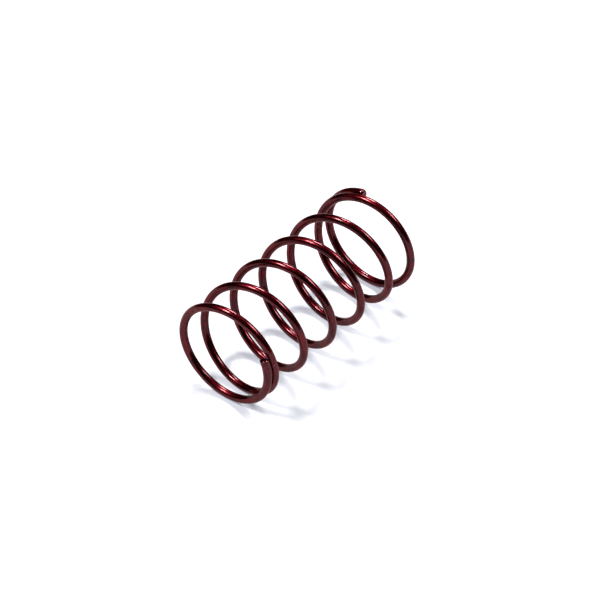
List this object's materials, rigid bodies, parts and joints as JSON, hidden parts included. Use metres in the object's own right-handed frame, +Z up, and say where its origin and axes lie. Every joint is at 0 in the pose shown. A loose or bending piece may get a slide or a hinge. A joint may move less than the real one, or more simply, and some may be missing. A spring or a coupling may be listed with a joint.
{
  "type": "compression coil spring",
  "caption": "Helical compression spring of round wire with closed, unground end turns and a translucent dark red lacquer; it shortens along its axis under load.",
  "frame": {"origin": "centre of the fixed end's seat plane, on the coil's axis", "axes": "+X along the coil's axis from the fixed end to the moving end, +Z up with the spring lying on its side, +Y completes the right hand"},
  "size_m": [0.0465, 0.022, 0.022],
  "materials": {
    "red_lacquer": "translucent dark red lacquer over bright steel wire, glossy"
  },
  "bodies": {
    "fixed_end": {"fixed_end_tip": "red_lacquer", "fixed_end_quarter_1": "red_lacquer", "fixed_end_quarter_2": "red_lacquer", "fixed_end_quarter_3": "red_lacquer", "fixed_end_quarter_4": "red_lacquer", "fixed_end_quarter_5": "red_lacquer"},
    "coil_quarter_01": {"coil_quarter_01": "red_lacquer"},
    "coil_quarter_02": {"coil_quarter_02": "red_lacquer"},
    "coil_quarter_03": {"coil_quarter_03": "red_lacquer"},
    "coil_quarter_04": {"coil_quarter_04": "red_lacquer"},
    "coil_quarter_05": {"coil_quarter_05": "red_lacquer"},
    "coil_quarter_06": {"coil_quarter_06": "red_lacquer"},
    "coil_quarter_07": {"coil_quarter_07": "red_lacquer"},
    "coil_quarter_08": {"coil_quarter_08": "red_lacquer"},
    "coil_quarter_09": {"coil_quarter_09": "red_lacquer"},
    "coil_quarter_10": {"coil_quarter_10": "red_lacquer"},
    "coil_quarter_11": {"coil_quarter_11": "red_lacquer"},
    "coil_quarter_12": {"coil_quarter_12": "red_lacquer"},
    "coil_quarter_13": {"coil_quarter_13": "red_lacquer"},
    "coil_quarter_14": {"coil_quarter_14": "red_lacquer"},
    "coil_quarter_15": {"coil_quarter_15": "red_lacquer"},
    "coil_quarter_16": {"coil_quarter_16": "red_lacquer"},
    "moving_end": {"moving_end_quarter_1": "red_lacquer", "moving_end_quarter_2": "red_lacquer", "moving_end_quarter_3": "red_lacquer", "moving_end_quarter_4": "red_lacquer", "moving_end_tip": "red_lacquer"}
  },
  "joints": [
    {"name": "compression", "type": "slide", "parent": "fixed_end", "child": "coil_quarter_01", "axis": [-1, 0, 0], "range_m": [0, 0.0017], "stiffness_N_per_m": 837.5},
    {"name": "coil_quarter_02_slide", "type": "slide", "parent": "coil_quarter_01", "child": "coil_quarter_02", "axis": [-1, 0, 0], "range_m": [0, 0.0017], "stiffness_N_per_m": 837.5},
    {"name": "coil_quarter_03_slide", "type": "slide", "parent": "coil_quarter_02", "child": "coil_quarter_03", "axis": [-1, 0, 0], "range_m": [0, 0.0017], "stiffness_N_per_m": 837.5},
    {"name": "coil_quarter_04_slide", "type": "slide", "parent": "coil_quarter_03", "child": "coil_quarter_04", "axis": [-1, 0, 0], "range_m": [0, 0.0017], "stiffness_N_per_m": 837.5},
    {"name": "coil_quarter_05_slide", "type": "slide", "parent": "coil_quarter_04", "child": "coil_quarter_05", "axis": [-1, 0, 0], "range_m": [0, 0.0017], "stiffness_N_per_m": 837.5},
    {"name": "coil_quarter_06_slide", "type": "slide", "parent": "coil_quarter_05", "child": "coil_quarter_06", "axis": [-1, 0, 0], "range_m": [0, 0.0017], "stiffness_N_per_m": 837.5},
    {"name": "coil_quarter_07_slide", "type": "slide", "parent": "coil_quarter_06", "child": "coil_quarter_07", "axis": [-1, 0, 0], "range_m": [0, 0.0017], "stiffness_N_per_m": 837.5},
    {"name": "coil_quarter_08_slide", "type": "slide", "parent": "coil_quarter_07", "child": "coil_quarter_08", "axis": [-1, 0, 0], "range_m": [0, 0.0017], "stiffness_N_per_m": 837.5},
    {"name": "coil_quarter_09_slide", "type": "slide", "parent": "coil_quarter_08", "child": "coil_quarter_09", "axis": [-1, 0, 0], "range_m": [0, 0.0017], "stiffness_N_per_m": 837.5},
    {"name": "coil_quarter_10_slide", "type": "slide", "parent": "coil_quarter_09", "child": "coil_quarter_10", "axis": [-1, 0, 0], "range_m": [0, 0.0017], "stiffness_N_per_m": 837.5},
    {"name": "coil_quarter_11_slide", "type": "slide", "parent": "coil_quarter_10", "child": "coil_quarter_11", "axis": [-1, 0, 0], "range_m": [0, 0.0017], "stiffness_N_per_m": 837.5},
    {"name": "coil_quarter_12_slide", "type": "slide", "parent": "coil_quarter_11", "child": "coil_quarter_12", "axis": [-1, 0, 0], "range_m": [0, 0.0017], "stiffness_N_per_m": 837.5},
    {"name": "coil_quarter_13_slide", "type": "slide", "parent": "coil_quarter_12", "child": "coil_quarter_13", "axis": [-1, 0, 0], "range_m": [0, 0.0017], "stiffness_N_per_m": 837.5},
    {"name": "coil_quarter_14_slide", "type": "slide", "parent": "coil_quarter_13", "child": "coil_quarter_14", "axis": [-1, 0, 0], "range_m": [0, 0.0017], "stiffness_N_per_m": 837.5},
    {"name": "coil_quarter_15_slide", "type": "slide", "parent": "coil_quarter_14", "child": "coil_quarter_15", "axis": [-1, 0, 0], "range_m": [0, 0.0017], "stiffness_N_per_m": 837.5},
    {"name": "coil_quarter_16_slide", "type": "slide", "parent": "coil_quarter_15", "child": "coil_quarter_16", "axis": [-1, 0, 0], "range_m": [0, 0.0017], "stiffness_N_per_m": 837.5},
    {"name": "moving_end_slide", "type": "slide", "parent": "coil_quarter_16", "child": "moving_end", "axis": [-1, 0, 0], "range_m": [0, 0.00128], "stiffness_N_per_m": 1116.7}
  ],
  "couplings": [
    {"joint": "coil_quarter_02_slide", "follows": "compression", "ratio": 1},
    {"joint": "coil_quarter_03_slide", "follows": "compression", "ratio": 1},
    {"joint": "coil_quarter_04_slide", "follows": "compression", "ratio": 1},
    {"joint": "coil_quarter_05_slide", "follows": "compression", "ratio": 1},
    {"joint": "coil_quarter_06_slide", "follows": "compression", "ratio": 1},
    {"joint": "coil_quarter_07_slide", "follows": "compression", "ratio": 1},
    {"joint": "coil_quarter_08_slide", "follows": "compression", "ratio": 1},
    {"joint": "coil_quarter_09_slide", "follows": "compression", "ratio": 1},
    {"joint": "coil_quarter_10_slide", "follows": "compression", "ratio": 1},
    {"joint": "coil_quarter_11_slide", "follows": "compression", "ratio": 1},
    {"joint": "coil_quarter_12_slide", "follows": "compression", "ratio": 1},
    {"joint": "coil_quarter_13_slide", "follows": "compression", "ratio": 1},
    {"joint": "coil_quarter_14_slide", "follows": "compression", "ratio": 1},
    {"joint": "coil_quarter_15_slide", "follows": "compression", "ratio": 1},
    {"joint": "coil_quarter_16_slide", "follows": "compression", "ratio": 1},
    {"joint": "moving_end_slide", "follows": "compression", "ratio": 0.75}
  ]
}
